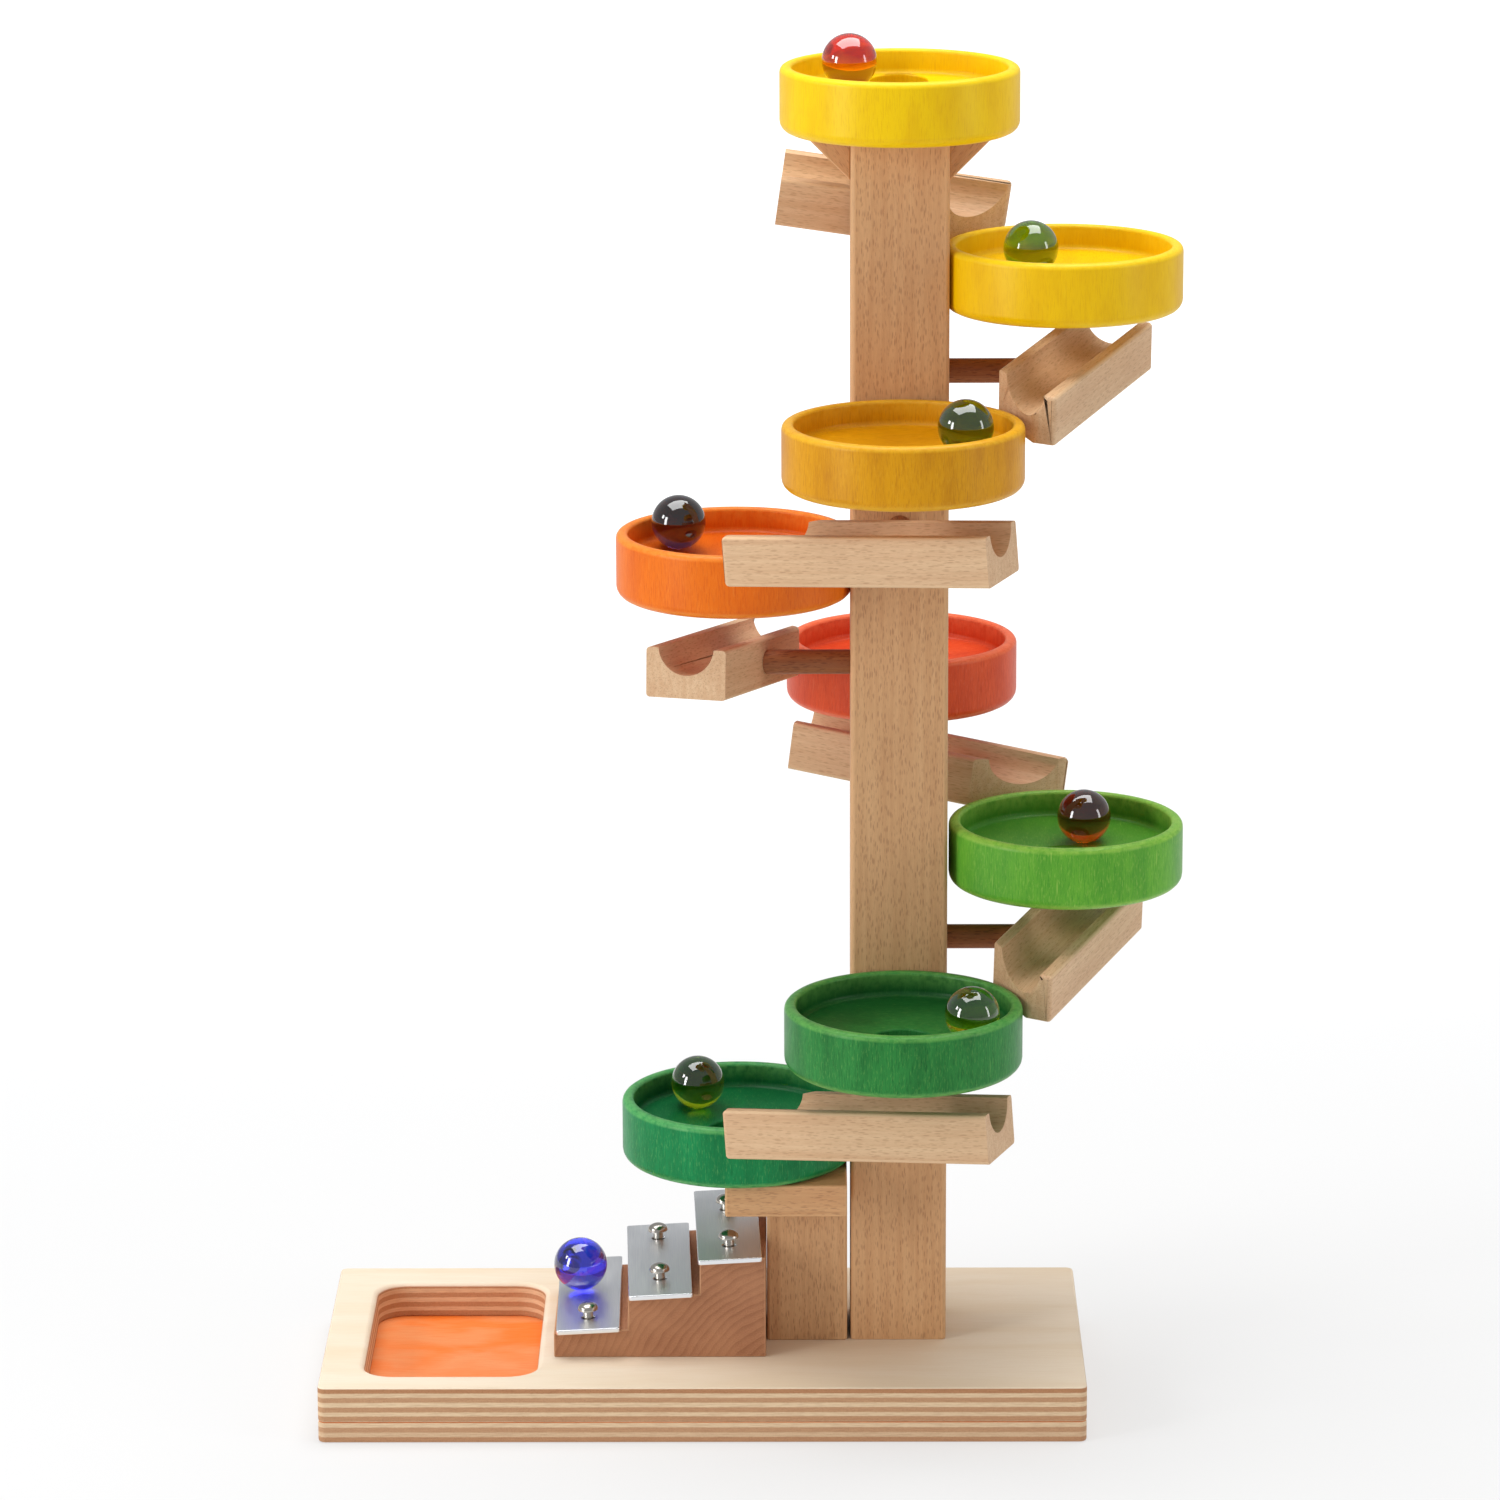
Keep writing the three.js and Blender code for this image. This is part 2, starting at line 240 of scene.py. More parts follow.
class Graph:
    # short ways to add and wire nodes in one tree
    def __init__(self, tree):
        self.tree = tree

    def add(self, kind, **settings):
        node = self.tree.nodes.new(kind)
        for key, value in settings.items():
            setattr(node, key, value)
        return node

    def wire(self, source, target):
        self.tree.links.new(source, target)

    def feed(self, socket, value):
        if hasattr(value, "is_output"):
            self.wire(value, socket)
        else:
            socket.default_value = value

    def math(self, operation, first, second=0.5, clamp=False):
        node = self.add("ShaderNodeMath", operation=operation, use_clamp=clamp)
        self.feed(node.inputs[0], first)
        self.feed(node.inputs[1], second)
        return node.outputs[0]

    def stretch(self, place, steps):
        node = self.add("ShaderNodeVectorMath", operation="MULTIPLY")
        self.feed(node.inputs[0], place)
        node.inputs[1].default_value = [1 / step for step in steps]
        return node.outputs[0]

    def noise(self, place, steps, detail=3.0, rough=0.55, warp=0.0):
        node = self.add("ShaderNodeTexNoise")
        node.inputs["Scale"].default_value = 1.0
        node.inputs["Detail"].default_value = detail
        node.inputs["Roughness"].default_value = rough
        node.inputs["Distortion"].default_value = warp
        self.wire(self.stretch(place, steps), node.inputs["Vector"])
        return node.outputs["Fac"]

    def cells(self, place, steps):
        node = self.add("ShaderNodeTexVoronoi")
        node.inputs["Scale"].default_value = 1.0
        self.wire(self.stretch(place, steps), node.inputs["Vector"])
        return node.outputs["Distance"]

    def between(self, value, low, high, start=0.0, end=1.0):
        node = self.add("ShaderNodeMapRange", interpolation_type="SMOOTHSTEP")
        self.feed(node.inputs["Value"], value)
        node.inputs["From Min"].default_value = low
        node.inputs["From Max"].default_value = high
        node.inputs["To Min"].default_value = start
        node.inputs["To Max"].default_value = end
        return node.outputs["Result"]

    def blend(self, factor, first, second, mode="MIX"):
        node = self.add("ShaderNodeMix", data_type="RGBA", blend_type=mode)
        self.feed(node.inputs[0], factor)
        self.feed(node.inputs[6], first)
        self.feed(node.inputs[7], second)
        return node.outputs[2]


    def parts(self, vector):
        node = self.add("ShaderNodeSeparateXYZ")
        self.wire(vector, node.inputs[0])
        return node.outputs

    # Object coordinates in millimetres from a middle point
    def placeFrom(self, middle):
        node = self.add("ShaderNodeMapping")
        node.inputs["Location"].default_value = [-value for value in middle]
        node.inputs["Scale"].default_value = (1 / mm, 1 / mm, 1 / mm)
        self.wire(self.add("ShaderNodeTexCoord").outputs["Object"], node.inputs["Vector"])
        return node.outputs["Vector"]


def makeCamera():
    lens = bpy.data.cameras.new("productCamera")
    lens.lens = cameraSet["lens"]
    lens.sensor_width = cameraSet["sensor"]
    lens.clip_end = cameraSet["reach"]
    camera = bpy.data.objects.new("productCamera", lens)
    bpy.context.scene.collection.objects.link(camera)
    camera.matrix_world = (Matrix.Translation(cameraSet["place"])
                           @ Matrix.Rotation(cameraSet["pan"], 4, "Z")
                           @ Matrix.Rotation(math.pi / 2 + cameraSet["tilt"], 4, "X")
                           @ Matrix.Rotation(cameraSet["roll"], 4, "Z"))
    bpy.context.scene.camera = camera


def makeStudio():
    scene = bpy.context.scene
    scene.view_settings.view_transform = "Standard"
    scene.view_settings.exposure = studio["exposure"]
    world = bpy.data.worlds.new("paleRoom")
    world.use_nodes = True
    scene.world = world
    sky = world.node_tree.nodes["Background"]
    sky.inputs["Color"].default_value = (*studio["worldColor"], 1)
    sky.inputs["Strength"].default_value = studio["worldStrength"]
    for name, place, target, width, height, watts in studio["boxes"]:
        lamp = bpy.data.lights.new(name, "AREA")
        lamp.shape = "RECTANGLE"
        lamp.size = width
        lamp.size_y = height
        lamp.energy = watts
        box = bpy.data.objects.new(name, lamp)
        scene.collection.objects.link(box)
        aim = Vector(target) - Vector(place)
        turn = aim.to_track_quat("-Z", "Y").to_matrix().to_4x4()
        box.matrix_world = Matrix.Translation(place) @ turn
    startFresh()
    bpy.ops.mesh.primitive_plane_add(size=studio["floorSize"], location=studio["floorPlace"])
    floor = bpy.context.object
    floor.name = "paleFloor"
    paint = bpy.data.materials.new("floorPaint")
    paint.use_nodes = True
    shader = paint.node_tree.nodes["Principled BSDF"]
    shader.inputs["Base Color"].default_value = (*studio["floorColor"], 1)
    shader.inputs["Roughness"].default_value = studio["floorRoughness"]
    shader.inputs["Emission Color"].default_value = (1, 1, 1, 1)
    # the floor is lifted towards white for the eye, and throws less light back up
    graph = Graph(paint.node_tree)
    split = graph.parts(graph.add("ShaderNodeTexCoord").outputs["Object"])
    behind = studio["floorPlace"][1]
    extra = studio["floorLift"] - studio["floorGlow"]
    sweep = graph.between(split["Y"], studio["sweepStart"] - behind, studio["sweepEnd"] - behind,
                          extra, extra + studio["sweepLift"])
    seen = graph.math("MULTIPLY", graph.add("ShaderNodeLightPath").outputs["Is Camera Ray"], sweep)
    lift = graph.math("ADD", seen, studio["floorGlow"])
    graph.wire(lift, shader.inputs["Emission Strength"])
    floor.data.materials.append(paint)


makeCamera()
makeStudio()
print("camera and light ready")


# node groups shared by the finishes

def srgb(red, green, blue):
    def toLinear(value):
        value /= 255
        return value / 12.92 if value <= 0.04045 else ((value + 0.055) / 1.055) ** 2.4
    return (toLinear(red), toLinear(green), toLinear(blue), 1.0)


def newGroup(name, inputs, outputs):
    tree = bpy.data.node_groups.new(name, "ShaderNodeTree")
    for label, kind, value in inputs:
        socket = tree.interface.new_socket(label, in_out="INPUT", socket_type=kind)
        if value is not None:
            socket.default_value = value
    for label, kind in outputs:
        tree.interface.new_socket(label, in_out="OUTPUT", socket_type=kind)
    graph = Graph(tree)
    entry = graph.add("NodeGroupInput")
    leave = graph.add("NodeGroupOutput")
    return tree, graph, entry.outputs, leave.inputs


number, colour, arrow = "NodeSocketFloat", "NodeSocketColor", "NodeSocketVector"


# sizes in the grain dictionaries are millimetres across, across and along the grain
beechSet = {
    "bands": (7.0, 7.0, 110.0), "lines": (1.3, 1.3, 50.0), "fibres": (0.25, 0.25, 4.0),
    "drift": (11, 11, 160), "driftBy": 7.0, "yearStep": 2.4, "yearDark": 0.3,
    "longDash": (0.7, 0.7, 3.6), "shortDash": (0.55, 0.55, 2.7), "rubbedPale": 0.55,
}


# beech: broad soft bands, fine fibres and short dark dashes along the grain
def makeBeechGroup():
    tree, g, ins, outs = newGroup(
        "beechGrain",
        [("Place", arrow, None), ("Light", colour, srgb(222, 188, 150)),
         ("Dark", colour, srgb(196, 152, 116)), ("Dash", colour, srgb(140, 92, 62)),
         ("Dashes", number, 0.8), ("Rubbed", number, 0.0)],
        [("Color", colour), ("Roughness", number), ("Height", number)])
    place = ins["Place"]
    bands = g.between(g.noise(place, beechSet["bands"], 2, 0.5, 0.3), 0.3, 0.72)
    lines = g.between(g.noise(place, beechSet["lines"], 2, 0.5), 0.3, 0.74)
    body = g.blend(g.math("ADD", g.math("MULTIPLY", bands, 0.4), g.math("MULTIPLY", lines, 0.4)),
                   ins["Light"], ins["Dark"])
    fibres = g.noise(place, beechSet["fibres"], 3, 0.6)
    body = g.blend(g.between(fibres, 0.3, 0.78, 0.0, 0.24), body, ins["Dash"])
    # growth years: each darkens towards its end
    drift = g.math("MULTIPLY", g.noise(place, beechSet["drift"], 2), beechSet["driftBy"])
    years = g.math("DIVIDE", g.math("ADD", g.parts(place)["Y"], drift), beechSet["yearStep"])
    late = g.between(g.math("FRACT", years), 0.3, 0.95, 0.0, beechSet["yearDark"])
    body = g.blend(late, body, ins["Dark"])
    strong = g.between(g.cells(place, beechSet["longDash"]), 0.16, 0.38, 0.7, 0.0)
    faint = g.between(g.cells(place, beechSet["shortDash"]), 0.14, 0.32, 0.5, 0.0)
    dashes = g.math("MULTIPLY", g.math("MAXIMUM", strong, faint), ins["Dashes"])
    body = g.blend(dashes, body, ins["Dash"])
    pale = g.blend(beechSet["rubbedPale"], body, ins["Light"])
    g.wire(g.blend(ins["Rubbed"], body, pale), outs["Color"])
    g.wire(g.between(fibres, 0.2, 0.8, 0.5, 0.64), outs["Roughness"])
    height = g.math("SUBTRACT", g.math("MULTIPLY", fibres, 0.4), g.math("MULTIPLY", dashes, 0.5))
    g.wire(height, outs["Height"])
    return tree


stainSet = {
    "clouds": (9.0, 9.0, 30.0), "fibres": (0.32, 0.32, 4.0), "dashes": (0.9, 0.9, 5.0),
    "mottle": (0.4, 0.4, 2.0), "threads": (2.4, 2.4, 24.0), "wornThin": (2.2, 2.2, 2.6),
    # how deep the painted shade inside the bowls goes
    "insideShadeDark": 0.7,
}


# stained beech: a strong colour with deeper and paler streaks
def makeStainGroup():
    tree, g, ins, outs = newGroup(
        "stainedGrain",
        [("Place", arrow, None), ("Body", colour, (0.5, 0.5, 0.5, 1)),
         ("Deep", colour, (0.2, 0.2, 0.2, 1)), ("Pale", colour, (0.8, 0.8, 0.8, 1)),
         ("Deep Streaks", number, 0.6), ("Pale Streaks", number, 0.3),
         ("Clouds", number, 0.3), ("Inside", number, 0.0), ("Rubbed", number, 0.0)],
        [("Color", colour), ("Roughness", number), ("Height", number)])
    place = ins["Place"]
    clouds = g.between(g.noise(place, stainSet["clouds"], 3, 0.55), 0.4, 0.7)
    body = g.blend(g.math("MULTIPLY", clouds, ins["Clouds"]), ins["Body"], ins["Deep"])
    # painted shade: the inside is darkened towards a deeper copy of the stain, and the pale
    # streaks fade there
    shadedDeep = g.blend(stainSet["insideShadeDark"], ins["Deep"], ins["Deep"], "MULTIPLY")
    body = g.blend(ins["Inside"], body, shadedDeep)
    unshaded = g.math("SUBTRACT", 1.0, ins["Inside"])
    fibres = g.noise(place, stainSet["fibres"], 4, 0.62)
    deep = g.math("MULTIPLY", g.between(fibres, 0.47, 0.68), ins["Deep Streaks"])
    body = g.blend(deep, body, ins["Deep"])
    dashes = g.between(g.cells(place, stainSet["dashes"]), 0.12, 0.28, 1.0, 0.0)
    body = g.blend(g.math("MULTIPLY", dashes, g.math("MULTIPLY", ins["Deep Streaks"], 0.5)),
                   body, ins["Deep"])
    mottle = g.noise(place, stainSet["mottle"], 3, 0.6, 0.3)
    threads = g.between(g.cells(place, stainSet["threads"]), 0.05, 0.13, 1.0, 0.0)
    pale = g.math("MAXIMUM", g.between(mottle, 0.52, 0.7, 0.0, 0.6), threads)
    pale = g.math("MULTIPLY", g.math("MULTIPLY", pale, ins["Pale Streaks"]), unshaded)
    body = g.blend(pale, body, ins["Pale"])
    thin = g.between(g.noise(place, stainSet["wornThin"], 3, 0.6), 0.28, 0.62, 0.35, 1.0)
    g.wire(g.blend(g.math("MULTIPLY", thin, ins["Rubbed"]), body, ins["Pale"]), outs["Color"])
    g.wire(g.between(fibres, 0.25, 0.75, 0.3, 0.4), outs["Roughness"])
    g.wire(fibres, outs["Height"])
    return tree


plySet = {
    "total": 17.0,
    # top of each veneer, and how dark it is: 0 pale, 1 brown
    "veneers": [(1.75, 0.92), (3.2, 0.35), (4.75, 0.8), (6.65, 0.12), (8.2, 0.85), (9.45, 0.1),
                (11.0, 0.8), (12.45, 0.05), (13.95, 0.78), (15.3, 0.12), (16.75, 1.0),
                (17.0, 0.0)],
    "soften": 0.0065,  # half the blend between two veneers, as a share of the total
    "wavy": (60, 60, 60), "wavyBy": 0.3, "ragged": (0.8, 0.8, 4), "raggedBy": 0.22,
    "along": (4.0, 4.0, 0.22), "grit": (0.35, 0.35, 0.35),
}


# glued veneers seen on an edge: Level is the height in the stack in millimetres
def makePlyGroup():
    tree, g, ins, outs = newGroup(
        "plyLayers", [("Place", arrow, None), ("Level", number, 0.0)],
        [("Color", colour), ("Roughness", number), ("Height", number)])
    place = ins["Place"]
    level = ins["Level"]
    for kind in ("wavy", "ragged"):
        swing = g.math("SUBTRACT", g.noise(place, plySet[kind], 2), 0.5)
        level = g.math("ADD", level, g.math("MULTIPLY", swing, plySet[kind + "By"]))
    ramp = g.add("ShaderNodeValToRGB")
    stops = []
    start = 0.0
    for top, dark in plySet["veneers"]:
        end = min(1.0, top / plySet["total"])
        stops += [(start + plySet["soften"], dark), (end - plySet["soften"], dark)]
        start = end
    ramp.color_ramp.elements[0].position = stops[0][0]
    ramp.color_ramp.elements[0].color = (stops[0][1],) * 3 + (1,)
    ramp.color_ramp.elements[1].position = stops[-1][0]
    ramp.color_ramp.elements[1].color = (stops[-1][1],) * 3 + (1,)
    for position, dark in stops[1:-1]:
        element = ramp.color_ramp.elements.new(position)
        element.color = (dark, dark, dark, 1)
    g.wire(g.math("DIVIDE", level, plySet["total"]), ramp.inputs[0])
    shade = ramp.outputs["Color"]
    body = g.blend(shade, srgb(238, 210, 172), srgb(190, 138, 98))
    along = g.noise(place, plySet["along"], 3, 0.6)
    grit = g.noise(place, plySet["grit"], 3, 0.65)
    body = g.blend(g.between(along, 0.35, 0.7, 0.0, 0.3), body, srgb(160, 108, 72))
    specks = g.math("MULTIPLY", g.between(grit, 0.45, 0.7, 0.0, 0.3), shade)
    body = g.blend(specks, body, srgb(120, 72, 44))
    g.wire(body, outs["Color"])
    g.wire(g.between(grit, 0.3, 0.7, 0.58, 0.75), outs["Roughness"])
    g.wire(g.math("SUBTRACT", grit, g.math("MULTIPLY", shade, 0.5)), outs["Height"])
    return tree


brushSet = {"scratches": (0.12, 0.12, 14.0), "broad": (9.0, 9.0, 20.0), "rubbedShine": 0.12}


# fine scratches left by a brush, and slow changes of shine
def makeBrushGroup():
    tree, g, ins, outs = newGroup(
        "brushedMetal", [("Place", arrow, None), ("Dull", number, 0.38), ("Rubbed", number, 0.0)],
        [("Color", colour), ("Roughness", number), ("Height", number)])
    lines = g.noise(ins["Place"], brushSet["scratches"], 3, 0.6)
    broad = g.noise(ins["Place"], brushSet["broad"], 2, 0.5)
    tone = g.blend(g.between(lines, 0.3, 0.7), srgb(236, 238, 242), srgb(248, 249, 250))
    g.wire(g.blend(ins["Rubbed"], tone, srgb(244, 245, 247)), outs["Color"])
    rough = g.math("ADD", g.between(lines, 0.25, 0.75, -0.05, 0.07),
                   g.between(broad, 0.3, 0.7, -0.03, 0.04))
    rough = g.math("ADD", rough, ins["Dull"])
    shine = g.math("MULTIPLY", ins["Rubbed"], brushSet["rubbedShine"])
    g.wire(g.math("SUBTRACT", rough, shine), outs["Roughness"])
    g.wire(lines, outs["Height"])
    return tree


beechGroup = makeBeechGroup()
stainGroup = makeStainGroup()
plyGroup = makePlyGroup()
brushGroup = makeBrushGroup()
print("node groups ready")


# finishes

def newFinish(name):
    finish = bpy.data.materials.new(name)
    finish.use_nodes = True
    graph = Graph(finish.node_tree)
    return finish, graph, finish.node_tree.nodes["Principled BSDF"]


def readMark(graph, name, output="Fac"):
    return graph.add("ShaderNodeAttribute", attribute_name=name).outputs[output]


def useGroup(graph, tree, **values):
    node = graph.add("ShaderNodeGroup")
    node.node_tree = tree
    for label, value in values.items():
        graph.feed(node.inputs[label.replace("_", " ")], value)
    return node.outputs


def bumpInto(graph, shader, height, strength, depth):
    bump = graph.add("ShaderNodeBump")
    bump.inputs["Strength"].default_value = strength
    bump.inputs["Distance"].default_value = depth * mm
    graph.wire(height, bump.inputs["Height"])
    graph.wire(bump.outputs["Normal"], shader.inputs["Normal"])


# a shared grain group gives the colour, the roughness and the bump
def coverWith(graph, shader, group, strength, depth):
    graph.wire(group["Color"], shader.inputs["Base Color"])
    graph.wire(group["Roughness"], shader.inputs["Roughness"])
    bumpInto(graph, shader, group["Height"], strength, depth)


def makeBeechFinish(name, light, dark, dash, dashes):
    finish, g, shader = newFinish(name)
    grain = useGroup(g, beechGroup, Place=readMark(g, "grainPlace", "Vector"), Light=light,
                     Dark=dark, Dash=dash, Dashes=dashes, Rubbed=readMark(g, "rubbed"))
    shader.inputs["Specular IOR Level"].default_value = 0.35
    coverWith(g, shader, grain, 0.35, 0.12)
    return finish


# the last argument sets how much painted shade the bowl's inside gets
def makeStainFinish(name, body, deep, pale, deepStreaks, paleStreaks, clouds, shadeAmount):
    finish, g, shader = newFinish(name)
    grain = useGroup(g, stainGroup, Place=readMark(g, "grainPlace", "Vector"), Body=body,
                     Deep=deep, Pale=pale, Deep_Streaks=deepStreaks,
                     Pale_Streaks=paleStreaks, Clouds=clouds,
                     Inside=g.math("MULTIPLY", readMark(g, "insideShade"), shadeAmount),
                     Rubbed=readMark(g, "rubbed"))
    shader.inputs["Specular IOR Level"].default_value = 0.2
    coverWith(g, shader, grain, 0.3, 0.1)
    return finish


# light, dark and dash colour, and how strong the dashes are
beech = makeBeechFinish("oiledBeech", srgb(228, 194, 154), srgb(206, 162, 122),
                        srgb(156, 108, 74), 0.5)
# partly painted shade: the posts, shelf block and braces get a darker copy of the beech for the
# shade the chutes and bowls cast on them; its redder tone is the wood's own
shadedPostBeech = makeBeechFinish("shadedPostBeech", srgb(222, 176, 128), srgb(198, 146, 100),
                            srgb(140, 90, 58), 0.6)
darkDowel = makeBeechFinish("dowelBeech", srgb(182, 118, 74), srgb(142, 82, 46),
                            srgb(92, 48, 26), 0.8)

stains = {
    # body, deep, pale, deep streaks, pale streaks, clouds, painted shade inside
    "bowl_1": (srgb(246, 204, 0), srgb(222, 166, 0), srgb(248, 216, 40), 0.4, 0.2, 0.35, 0.0),
    "bowl_2": (srgb(244, 198, 0), srgb(220, 162, 0), srgb(248, 214, 44), 0.4, 0.2, 0.35, 0.0),
    "bowl_3": (srgb(218, 152, 4), srgb(182, 112, 0), srgb(236, 186, 54), 0.5, 0.3, 0.5, 0.0),
    "bowl_4": (srgb(236, 116, 16), srgb(208, 80, 4), srgb(246, 158, 66), 0.45, 0.25, 0.4, 0.2),
    "bowl_5": (srgb(232, 88, 42), srgb(196, 54, 24), srgb(246, 138, 96), 0.5, 0.3, 0.4, 0.3),
    "bowl_6": (srgb(104, 176, 52), srgb(62, 142, 40), srgb(168, 208, 92), 0.6, 0.5, 0.5, 0.6),
    "bowl_7": (srgb(44, 132, 58), srgb(10, 88, 34), srgb(120, 184, 92), 0.6, 0.4, 0.6, 0.6),
    "bowl_8": (srgb(16, 138, 76), srgb(0, 102, 52), srgb(120, 196, 112), 0.6, 0.4, 0.5, 0.6),
}


ringSet = {"heart": (44.0, 0.0, -16.0), "step": 2.3, "drift": (14, 200, 14), "driftBy": 5.0,
           "pores": (0.3, 3.0, 0.3), "clouds": (9, 60, 9)}


# the step block shows its end grain: curved growth rings, dark pores and soft clouds
def makeEndGrain():
    finish, g, shader = newFinish("endGrainBeech")
    place = g.placeFrom(ringSet["heart"])
    length = g.add("ShaderNodeVectorMath", operation="LENGTH")
    g.wire(g.stretch(place, (1, 1e6, 1)), length.inputs[0])
    drift = g.math("MULTIPLY", g.noise(place, ringSet["drift"], 2), ringSet["driftBy"])
    radius = g.math("ADD", length.outputs["Value"], drift)
    wave = g.math("FRACT", g.math("DIVIDE", radius, ringSet["step"]))
    late = g.between(wave, 0.35, 0.97)
    grit = g.noise(place, ringSet["pores"], 3, 0.65)
    body = g.blend(g.math("MULTIPLY", late, 0.4), srgb(184, 128, 92), srgb(136, 84, 58))
    body = g.blend(g.between(grit, 0.35, 0.75, 0.0, 0.5), body, srgb(120, 70, 48))
    cloud = g.between(g.noise(place, ringSet["clouds"], 2), 0.35, 0.7, 0.0, 0.35)
    body = g.blend(cloud, body, srgb(196, 142, 104))
    g.wire(g.blend(g.math("MULTIPLY", readMark(g, "rubbed"), 0.5), body, srgb(206, 156, 116)),
           shader.inputs["Base Color"])
    g.wire(g.between(grit, 0.3, 0.8, 0.55, 0.7), shader.inputs["Roughness"])
    shader.inputs["Specular IOR Level"].default_value = 0.3
    bumpInto(g, shader, g.math("SUBTRACT", grit, g.math("MULTIPLY", late, 0.3)), 0.3, 0.1)
    return finish


veneerSet = {"sweep": (90, 14, 14), "fine": (9, 0.35, 0.35)}
traySet = {"clouds": (26, 14, 10), "fine": (7, 0.4, 0.4), "paleFront": (-42, 12)}


# place in millimetres, the layers there, and how far the surface faces up
def startPly(g):
    place = g.placeFrom((0, 0, 0))
    layers = useGroup(g, plyGroup, Place=place, Level=g.parts(place)["Z"])
    up = g.parts(g.add("ShaderNodeNewGeometry").outputs["Normal"])["Z"]
    return place, layers, up


# birch plywood: face veneer on top, layers on the edges
def makePlyFinish():
    finish, g, shader = newFinish("birchPly")
    place, layers, up = startPly(g)
    topFace = g.between(up, 0.3, 0.55)
    sweep = g.noise(place, veneerSet["sweep"], 2, 0.5, 0.4)
    fine = g.noise(place, veneerSet["fine"], 3, 0.6)
    veneer = g.blend(g.between(sweep, 0.3, 0.75), srgb(238, 222, 200), srgb(232, 212, 184))
    veneer = g.blend(g.between(fine, 0.4, 0.75, 0.0, 0.25), veneer, srgb(220, 194, 162))
    g.wire(g.blend(topFace, layers["Color"], veneer), shader.inputs["Base Color"])
    g.wire(layers["Roughness"], shader.inputs["Roughness"])
    shader.inputs["Specular IOR Level"].default_value = 0.3
    height = g.add("ShaderNodeMix")
    g.wire(topFace, height.inputs[0])
    g.wire(layers["Height"], height.inputs[2])
    g.wire(g.math("MULTIPLY", fine, 0.5), height.inputs[3])
    bumpInto(g, shader, height.outputs[0], 0.3, 0.1)
    return finish


# the plate under the board: layers on its edges, orange stain inside the tray
def makeTrayFinish():
    finish, g, shader = newFinish("stainedTrayFloor")
    place, layers, up = startPly(g)
    topFace = g.between(up, 0.6, 0.9)
    clouds = g.noise(place, traySet["clouds"], 3, 0.5, 0.5)
    fine = g.noise(place, traySet["fine"], 3, 0.6)
    stain = g.blend(g.between(clouds, 0.35, 0.7), srgb(246, 126, 44), srgb(240, 150, 92))
    front = g.between(g.parts(place)["Y"], *traySet["paleFront"], 1.0, 0.0)
    stain = g.blend(g.math("MULTIPLY", front, 0.55), stain, srgb(244, 166, 118))
    stain = g.blend(g.between(fine, 0.4, 0.75, 0.0, 0.3), stain, srgb(226, 104, 36))
    g.wire(g.blend(topFace, layers["Color"], stain), shader.inputs["Base Color"])
    g.wire(g.between(fine, 0.3, 0.7, 0.42, 0.55), shader.inputs["Roughness"])
    shader.inputs["Specular IOR Level"].default_value = 0.35
    bumpInto(g, shader, fine, 0.25, 0.08)
    return finish


def makeMetalFinish(name, dull, tint):
    finish, g, shader = newFinish(name)
    brush = useGroup(g, brushGroup, Place=readMark(g, "grainPlace", "Vector"), Dull=dull,
                     Rubbed=readMark(g, "rubbed"))
    g.wire(g.blend(1.0, brush["Color"], tint, "MULTIPLY"), shader.inputs["Base Color"])
    g.wire(brush["Roughness"], shader.inputs["Roughness"])
    shader.inputs["Metallic"].default_value = 1.0
    bumpInto(g, shader, brush["Height"], 0.12, 0.03)
    return finish


glassSet = {"drift": (7, 7, 7), "driftBy": 7.0, "meeting": (-3.0, 3.5), "veil": (6, 11, 6),
            "specks": (1.5, 1.5, 1.5), "ior": 1.52}


# clear glass with a slow swirl; painted light: darker at the top and lighter at the bottom,
# standing in for the glow the glass gathers low down, and the two colours meet near the middle
def makeGlassFinish(name, node, top, glowingBottom, swirl, veilStrength):
    finish, g, shader = newFinish(name)
    low, high = boxOf(node)
    place = g.placeFrom((low + high) / 2)
    swing = g.math("SUBTRACT", g.noise(place, glassSet["drift"], 2), 0.5)
    level = g.math("ADD", g.parts(place)["Z"], g.math("MULTIPLY", swing, glassSet["driftBy"]))
    # painted light: the bottom colour is the painted glow, the top colour the darker upper part
    body = g.blend(g.between(level, *glassSet["meeting"]), glowingBottom, top)
    veil = g.noise(place, glassSet["veil"], 3, 0.5, 1.2)
    veil = g.between(veil, 0.52, 0.7, 0.0, veilStrength)
    g.wire(g.blend(veil, body, swirl), shader.inputs["Base Color"])
    specks = g.noise(place, glassSet["specks"], 3, 0.6)
    g.wire(g.between(specks, 0.4, 0.8, 0.01, 0.045), shader.inputs["Roughness"])
    shader.inputs["IOR"].default_value = glassSet["ior"]
    shader.inputs["Transmission Weight"].default_value = 1.0
    shader.inputs["Specular IOR Level"].default_value = 0.6
    shader.inputs["Coat Weight"].default_value = 1.0
    shader.inputs["Coat IOR"].default_value = 1.6
    shader.inputs["Coat Roughness"].default_value = 0.01
    return finish


endGrain = makeEndGrain()
birchPly = makePlyFinish()
trayFloor = makeTrayFinish()
# how dull, and the metal's own tint
plateMetal = makeMetalFinish("brushedPlate", 0.36, (1.0, 1.0, 1.0, 1))
pinMetal = makeMetalFinish("polishedPin", 0.2, (0.62, 0.57, 0.5, 1))
print("finishes ready")


# base board with the catch tray

baseSet = {"corner": 2.2, "edge": 0.6, "trayCorner": 9.0, "trayEdge": 1.9,
           "trayMiddle": (-74.5, -1.7), "traySize": (51.0, 81.4), "cutPast": 5}


def addRoundedBlock(name, low, high, corner, segments):
    block = addBlock(name, low, high)
    upright = 0.5 * (high[2] - low[2])
    roundEdges(block, corner, segments, lambda a, b: abs(a.z - b.z) > upright)
    return block


